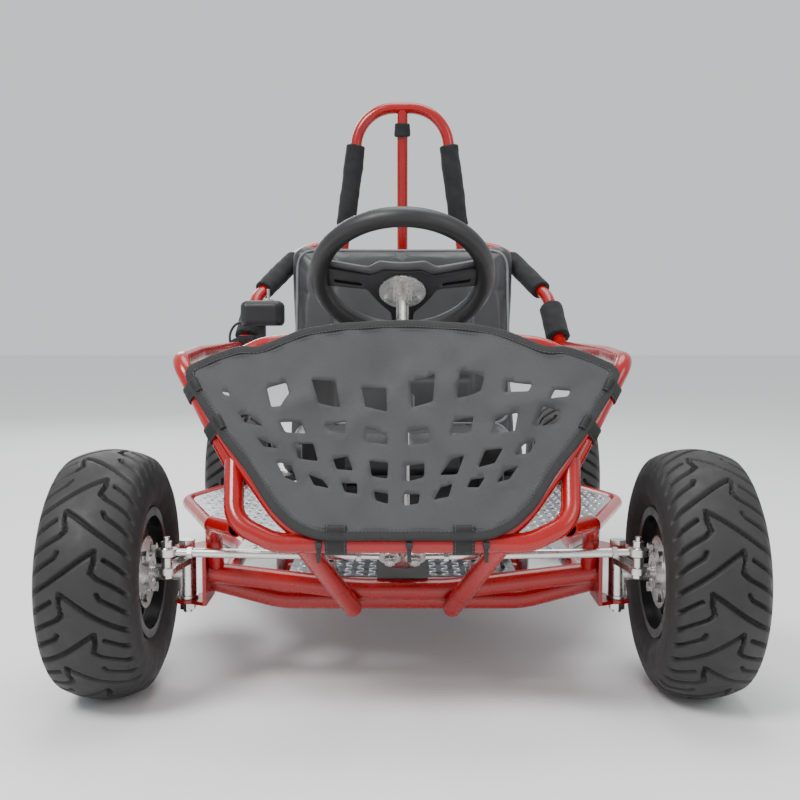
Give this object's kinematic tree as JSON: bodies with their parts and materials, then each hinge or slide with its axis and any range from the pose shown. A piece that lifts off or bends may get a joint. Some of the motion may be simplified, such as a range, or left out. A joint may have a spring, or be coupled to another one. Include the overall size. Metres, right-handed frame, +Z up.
{
  "type": "off-road youth go-kart",
  "caption": "Off-road youth go-kart with a red tube frame, cloth nose shield, seat, roll hoop, steering linkage and live rear axle.",
  "frame": {"origin": "on the ground, under the middle of the kart", "axes": "+Z up; -Y is the front of the kart, where the nose points; +X is the driver's left"},
  "size_m": [0.907, 1.2921, 0.932],
  "materials": {
    "red_paint": "gloss red powder coat",
    "black_paint": "satin black paint",
    "zinc_steel": "bright zinc plate",
    "diamond_plate": "raised tread plate",
    "tyre_rubber": "moulded black rubber",
    "seat_vinyl": "dark grey grained vinyl",
    "shield_cloth": "dark grey coated cloth",
    "webbing": "black woven webbing",
    "foam_black": "matt black foam",
    "black_plastic": "moulded black plastic",
    "grip_rubber": "grained soft rim",
    "motor_alloy": "cast and machined alloy"
  },
  "bodies": {
    "chassis": {"axle_bearings": "zinc_steel", "battery_box": "black_plastic", "brake_cable": "black_plastic", "brake_caliper": "black_paint", "chain": "black_paint", "chain_guard": "black_paint", "column_supports": "black_paint", "control_pod": "black_plastic", "controller": "motor_alloy", "floor_frame": "red_paint", "floor_pan": "diamond_plate", "front_axle_beam": "red_paint", "front_panel": "shield_cloth", "kingpin_bolts": "zinc_steel", "kingpin_brackets": "red_paint", "motor": "motor_alloy", "motor_mount": "black_paint", "nose_hoop": "red_paint", "nose_struts": "red_paint", "panel_frame": "red_paint", "panel_straps": "webbing", "pedal_brackets": "zinc_steel", "pod_wire": "black_plastic", "rear_frame": "red_paint", "roll_hoop": "red_paint", "roll_hoop_pads": "foam_black", "seat_back_cushion": "seat_vinyl", "seat_base_cushion": "seat_vinyl", "seat_brackets": "black_paint", "seat_shell": "black_plastic", "side_rail_pads": "foam_black", "side_rails": "red_paint", "wing_steps": "diamond_plate", "wing_tubes": "red_paint"},
    "steering": {"steering_wheel": "grip_rubber", "steering_column": "zinc_steel", "column_fasteners": "zinc_steel"},
    "rear_axle_set": {"rear_tyres": "tyre_rubber", "rear_rims": "black_paint", "rear_hubs": "zinc_steel", "rear_axle": "zinc_steel", "sprocket": "zinc_steel", "brake_disc": "zinc_steel"},
    "motor_shaft": {"motor_pinion": "zinc_steel"},
    "throttle": {"throttle_pedal": "black_paint"},
    "brake": {"brake_pedal": "black_paint"},
    "lever": {"caliper_lever": "zinc_steel"},
    "key": {"key_switch": "zinc_steel"},
    "spindle_left": {"spindle_left": "zinc_steel"},
    "rod_ball_left": {"rod_ball_left": "zinc_steel"},
    "tie_rod_left": {"tie_rod_left": "zinc_steel"},
    "front_wheel_left": {"front_tyre_left": "tyre_rubber", "front_rim_left": "black_paint", "front_hub_left": "zinc_steel"},
    "spindle_right": {"spindle_right": "zinc_steel"},
    "rod_ball_right": {"rod_ball_right": "zinc_steel"},
    "tie_rod_right": {"tie_rod_right": "zinc_steel"},
    "front_wheel_right": {"front_tyre_right": "tyre_rubber", "front_rim_right": "black_paint", "front_hub_right": "zinc_steel"}
  },
  "joints": [
    {"name": "steering", "type": "hinge", "parent": "chassis", "child": "steering", "pos_m": [0, -0.15, 0.572], "axis": [0, 0.6428, 0.766], "range_deg": [-30, 30]},
    {"name": "kingpin_left", "type": "hinge", "parent": "chassis", "child": "spindle_left", "pos_m": [0.289, -0.46, 0.165], "axis": [0, 0, 1], "range_deg": [-24, 24]},
    {"name": "rod_swivel_left", "type": "hinge", "parent": "spindle_left", "child": "rod_ball_left", "pos_m": [0.302, -0.525, 0.206], "axis": [0, 0, 1], "range_deg": [-25, 25]},
    {"name": "rod_tilt_left", "type": "hinge", "parent": "rod_ball_left", "child": "tie_rod_left", "pos_m": [0.302, -0.525, 0.206], "axis": [0, 1, 0], "range_deg": [-3, 3]},
    {"name": "front_wheel_left", "type": "hinge", "parent": "spindle_left", "child": "front_wheel_left", "pos_m": [0.39, -0.46, 0.165], "axis": [1, 0, 0], "continuous": true},
    {"name": "kingpin_right", "type": "hinge", "parent": "chassis", "child": "spindle_right", "pos_m": [-0.289, -0.46, 0.165], "axis": [0, 0, 1], "range_deg": [-24, 24]},
    {"name": "rod_swivel_right", "type": "hinge", "parent": "spindle_right", "child": "rod_ball_right", "pos_m": [-0.302, -0.525, 0.206], "axis": [0, 0, 1], "range_deg": [-25, 25]},
    {"name": "rod_tilt_right", "type": "hinge", "parent": "rod_ball_right", "child": "tie_rod_right", "pos_m": [-0.302, -0.525, 0.206], "axis": [0, 1, 0], "range_deg": [-3, 3]},
    {"name": "front_wheel_right", "type": "hinge", "parent": "spindle_right", "child": "front_wheel_right", "pos_m": [-0.39, -0.46, 0.165], "axis": [1, 0, 0], "continuous": true},
    {"name": "rear_axle", "type": "hinge", "parent": "chassis", "child": "rear_axle_set", "pos_m": [0, 0.46, 0.165], "axis": [1, 0, 0], "continuous": true},
    {"name": "motor_shaft", "type": "hinge", "parent": "chassis", "child": "motor_shaft", "pos_m": [-0.112, 0.35, 0.222], "axis": [1, 0, 0], "continuous": true},
    {"name": "throttle_pedal", "type": "hinge", "parent": "chassis", "child": "throttle", "pos_m": [-0.112, -0.395, 0.172], "axis": [1, 0, 0], "range_deg": [0, 20], "stiffness_Nm_per_rad": 4, "springref_deg": -10},
    {"name": "brake_pedal", "type": "hinge", "parent": "chassis", "child": "brake", "pos_m": [0.112, -0.395, 0.172], "axis": [1, 0, 0], "range_deg": [0, 20], "stiffness_Nm_per_rad": 6, "springref_deg": -10},
    {"name": "caliper_lever", "type": "hinge", "parent": "chassis", "child": "lever", "pos_m": [0.138, 0.404, 0.199], "axis": [1, 0, 0], "range_deg": [0, 10]},
    {"name": "key_turn", "type": "hinge", "parent": "chassis", "child": "key", "pos_m": [-0.233, -0.014, 0.505], "axis": [0, 0, 1], "range_deg": [0, 90]}
  ],
  "couplings": [
    {"joint": "kingpin_left", "follows": "steering", "ratio": 0.7603},
    {"joint": "rod_swivel_left", "follows": "steering", "ratio": -0.7679},
    {"joint": "rod_tilt_left", "follows": "steering", "ratio": -0.0348},
    {"joint": "kingpin_right", "follows": "steering", "ratio": 0.7603},
    {"joint": "rod_swivel_right", "follows": "steering", "ratio": -0.7679},
    {"joint": "rod_tilt_right", "follows": "steering", "ratio": -0.0348},
    {"joint": "motor_shaft", "follows": "rear_axle", "ratio": 4.9091},
    {"joint": "caliper_lever", "follows": "brake_pedal", "ratio": 0.45}
  ]
}
